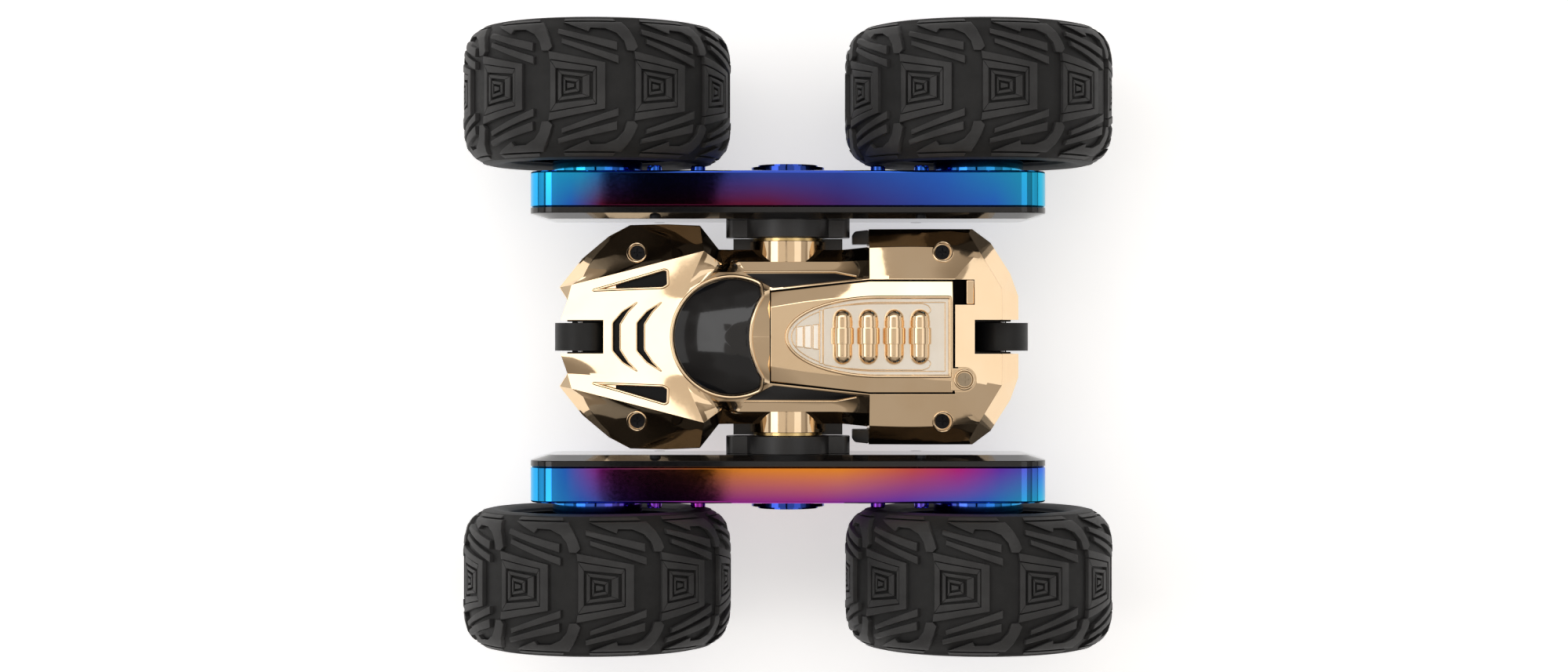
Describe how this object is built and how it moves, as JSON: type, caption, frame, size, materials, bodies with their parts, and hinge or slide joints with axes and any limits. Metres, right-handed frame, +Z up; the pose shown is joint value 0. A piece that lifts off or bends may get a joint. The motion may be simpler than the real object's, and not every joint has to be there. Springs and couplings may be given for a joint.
{
  "type": "radio-controlled stunt car",
  "caption": "Flip-over stunt car: shelled body hung between two geared side arms that turn end over end, with wide treaded wheels at the arms' ends.",
  "frame": {"origin": "on the ground under the arm pivot, midway between the four wheels", "axes": "+X towards the nose, +Y to the car's left, +Z up"},
  "size_m": [0.2485, 0.236, 0.1025],
  "materials": {
    "gold_shell": "bright gold vacuum plating on moulded plastic",
    "gold_panel": "bright pale gold plating on moulded plastic",
    "black_shell": "satin black moulded plastic",
    "black_gloss": "polished black plastic",
    "arm_plating": "mirror plating that shades from blue through violet to orange",
    "rim_plating": "mirror plating that shades from blue to violet",
    "tyre": "satin black rubber with raised tread blocks",
    "roller": "matte black rubber",
    "steel": "bright steel",
    "motor_can": "plated steel can",
    "brass": "machined brass",
    "gear_white": "satin nylon",
    "gear_ivory": "satin nylon",
    "battery_sleeve": "shrunk plastic sleeve",
    "board": "solder mask",
    "switch_knob": "satin black plastic"
  },
  "bodies": {
    "car_body": {"upper_shell": "gold_shell", "lower_shell": "black_shell", "canopy": "black_gloss", "hood_vents": "black_shell", "fender_vents": "black_shell", "side_strips": "black_gloss", "body_screws": "steel", "roller_pins": "steel", "pivot_bushes": "brass", "battery_pack": "battery_sleeve", "circuit_board": "board", "switch_housing": "black_shell"},
    "battery_door": {"battery_lid": "gold_shell", "engine_panel": "gold_panel", "intake_stacks": "gold_shell", "lid_screw": "steel"},
    "power_switch": {"switch_knob": "switch_knob"},
    "nose_roller": {"front_roller": "roller"},
    "tail_roller": {"rear_roller": "roller"},
    "left_arm": {"arm_outer_shell_left": "arm_plating", "arm_inner_shell_left": "black_gloss", "arm_cap_left": "arm_plating", "arm_screws_left": "steel", "gear_pins_left": "steel", "pivot_hub_left": "black_shell", "motor_left": "motor_can"},
    "front_left_wheel": {"axle_gear_front_left": "gear_white", "wheel_axle_front_left": "steel", "rim_front_left": "rim_plating", "tyre_front_left": "tyre"},
    "front_left_second_gear": {"second_gear_front_left": "gear_ivory"},
    "front_left_first_gear": {"first_gear_front_left": "gear_white"},
    "rear_left_wheel": {"axle_gear_rear_left": "gear_white", "wheel_axle_rear_left": "steel", "rim_rear_left": "rim_plating", "tyre_rear_left": "tyre"},
    "rear_left_second_gear": {"second_gear_rear_left": "gear_ivory"},
    "rear_left_first_gear": {"first_gear_rear_left": "gear_white"},
    "left_pinion": {"pinion_left": "brass"},
    "right_arm": {"arm_outer_shell_right": "arm_plating", "arm_inner_shell_right": "black_gloss", "arm_cap_right": "arm_plating", "arm_screws_right": "steel", "gear_pins_right": "steel", "pivot_hub_right": "black_shell", "motor_right": "motor_can"},
    "front_right_wheel": {"axle_gear_front_right": "gear_white", "wheel_axle_front_right": "steel", "rim_front_right": "rim_plating", "tyre_front_right": "tyre"},
    "front_right_second_gear": {"second_gear_front_right": "gear_ivory"},
    "front_right_first_gear": {"first_gear_front_right": "gear_white"},
    "rear_right_wheel": {"axle_gear_rear_right": "gear_white", "wheel_axle_rear_right": "steel", "rim_rear_right": "rim_plating", "tyre_rear_right": "tyre"},
    "rear_right_second_gear": {"second_gear_rear_right": "gear_ivory"},
    "rear_right_first_gear": {"first_gear_rear_right": "gear_white"},
    "right_pinion": {"pinion_right": "brass"}
  },
  "joints": [
    {"name": "battery_door_hinge", "type": "hinge", "parent": "car_body", "child": "battery_door", "pos_m": [0.0058, 0, 0.07775], "axis": [0, 1, 0], "range_deg": [0, 70]},
    {"name": "power_switch_slide", "type": "slide", "parent": "car_body", "child": "power_switch", "axis": [1, 0, 0], "range_m": [0, 0.003]},
    {"name": "nose_roller_spin", "type": "hinge", "parent": "car_body", "child": "nose_roller", "pos_m": [0.0791, 0, 0.05325], "axis": [0, 1, 0], "continuous": true},
    {"name": "tail_roller_spin", "type": "hinge", "parent": "car_body", "child": "tail_roller", "pos_m": [-0.0818, 0, 0.05325], "axis": [0, 1, 0], "continuous": true},
    {"name": "left_arm_turn", "type": "hinge", "parent": "car_body", "child": "left_arm", "pos_m": [0, 0, 0.05125], "axis": [0, 1, 0], "continuous": true},
    {"name": "front_left_wheel_spin", "type": "hinge", "parent": "left_arm", "child": "front_left_wheel", "pos_m": [0.073, 0, 0.05125], "axis": [0, 1, 0], "continuous": true},
    {"name": "front_left_second_gear_spin", "type": "hinge", "parent": "left_arm", "child": "front_left_second_gear", "pos_m": [0.044, 0, 0.05125], "axis": [0, 1, 0], "continuous": true},
    {"name": "front_left_first_gear_spin", "type": "hinge", "parent": "left_arm", "child": "front_left_first_gear", "pos_m": [0.022, 0, 0.05125], "axis": [0, 1, 0], "continuous": true},
    {"name": "rear_left_wheel_spin", "type": "hinge", "parent": "left_arm", "child": "rear_left_wheel", "pos_m": [-0.073, 0, 0.05125], "axis": [0, 1, 0], "continuous": true},
    {"name": "rear_left_second_gear_spin", "type": "hinge", "parent": "left_arm", "child": "rear_left_second_gear", "pos_m": [-0.044, 0, 0.05125], "axis": [0, 1, 0], "continuous": true},
    {"name": "rear_left_first_gear_spin", "type": "hinge", "parent": "left_arm", "child": "rear_left_first_gear", "pos_m": [-0.022, 0, 0.05125], "axis": [0, 1, 0], "continuous": true},
    {"name": "left_pinion_spin", "type": "hinge", "parent": "left_arm", "child": "left_pinion", "pos_m": [0, 0, 0.05125], "axis": [0, 1, 0], "continuous": true},
    {"name": "right_arm_turn", "type": "hinge", "parent": "car_body", "child": "right_arm", "pos_m": [0, 0, 0.05125], "axis": [0, 1, 0], "continuous": true},
    {"name": "front_right_wheel_spin", "type": "hinge", "parent": "right_arm", "child": "front_right_wheel", "pos_m": [0.073, 0, 0.05125], "axis": [0, 1, 0], "continuous": true},
    {"name": "front_right_second_gear_spin", "type": "hinge", "parent": "right_arm", "child": "front_right_second_gear", "pos_m": [0.044, 0, 0.05125], "axis": [0, 1, 0], "continuous": true},
    {"name": "front_right_first_gear_spin", "type": "hinge", "parent": "right_arm", "child": "front_right_first_gear", "pos_m": [0.022, 0, 0.05125], "axis": [0, 1, 0], "continuous": true},
    {"name": "rear_right_wheel_spin", "type": "hinge", "parent": "right_arm", "child": "rear_right_wheel", "pos_m": [-0.073, 0, 0.05125], "axis": [0, 1, 0], "continuous": true},
    {"name": "rear_right_second_gear_spin", "type": "hinge", "parent": "right_arm", "child": "rear_right_second_gear", "pos_m": [-0.044, 0, 0.05125], "axis": [0, 1, 0], "continuous": true},
    {"name": "rear_right_first_gear_spin", "type": "hinge", "parent": "right_arm", "child": "rear_right_first_gear", "pos_m": [-0.022, 0, 0.05125], "axis": [0, 1, 0], "continuous": true},
    {"name": "right_pinion_spin", "type": "hinge", "parent": "right_arm", "child": "right_pinion", "pos_m": [0, 0, 0.05125], "axis": [0, 1, 0], "continuous": true}
  ],
  "couplings": [
    {"joint": "front_left_second_gear_spin", "follows": "front_left_wheel_spin", "ratio": -1.9},
    {"joint": "front_left_first_gear_spin", "follows": "front_left_wheel_spin", "ratio": 4.0714},
    {"joint": "rear_left_wheel_spin", "follows": "front_left_wheel_spin", "ratio": 1},
    {"joint": "rear_left_second_gear_spin", "follows": "front_left_wheel_spin", "ratio": -1.9},
    {"joint": "rear_left_first_gear_spin", "follows": "front_left_wheel_spin", "ratio": 4.0714},
    {"joint": "left_pinion_spin", "follows": "front_left_wheel_spin", "ratio": -10.857},
    {"joint": "front_right_second_gear_spin", "follows": "front_right_wheel_spin", "ratio": -1.9},
    {"joint": "front_right_first_gear_spin", "follows": "front_right_wheel_spin", "ratio": 4.0714},
    {"joint": "rear_right_wheel_spin", "follows": "front_right_wheel_spin", "ratio": 1},
    {"joint": "rear_right_second_gear_spin", "follows": "front_right_wheel_spin", "ratio": -1.9},
    {"joint": "rear_right_first_gear_spin", "follows": "front_right_wheel_spin", "ratio": 4.0714},
    {"joint": "right_pinion_spin", "follows": "front_right_wheel_spin", "ratio": -10.857}
  ]
}
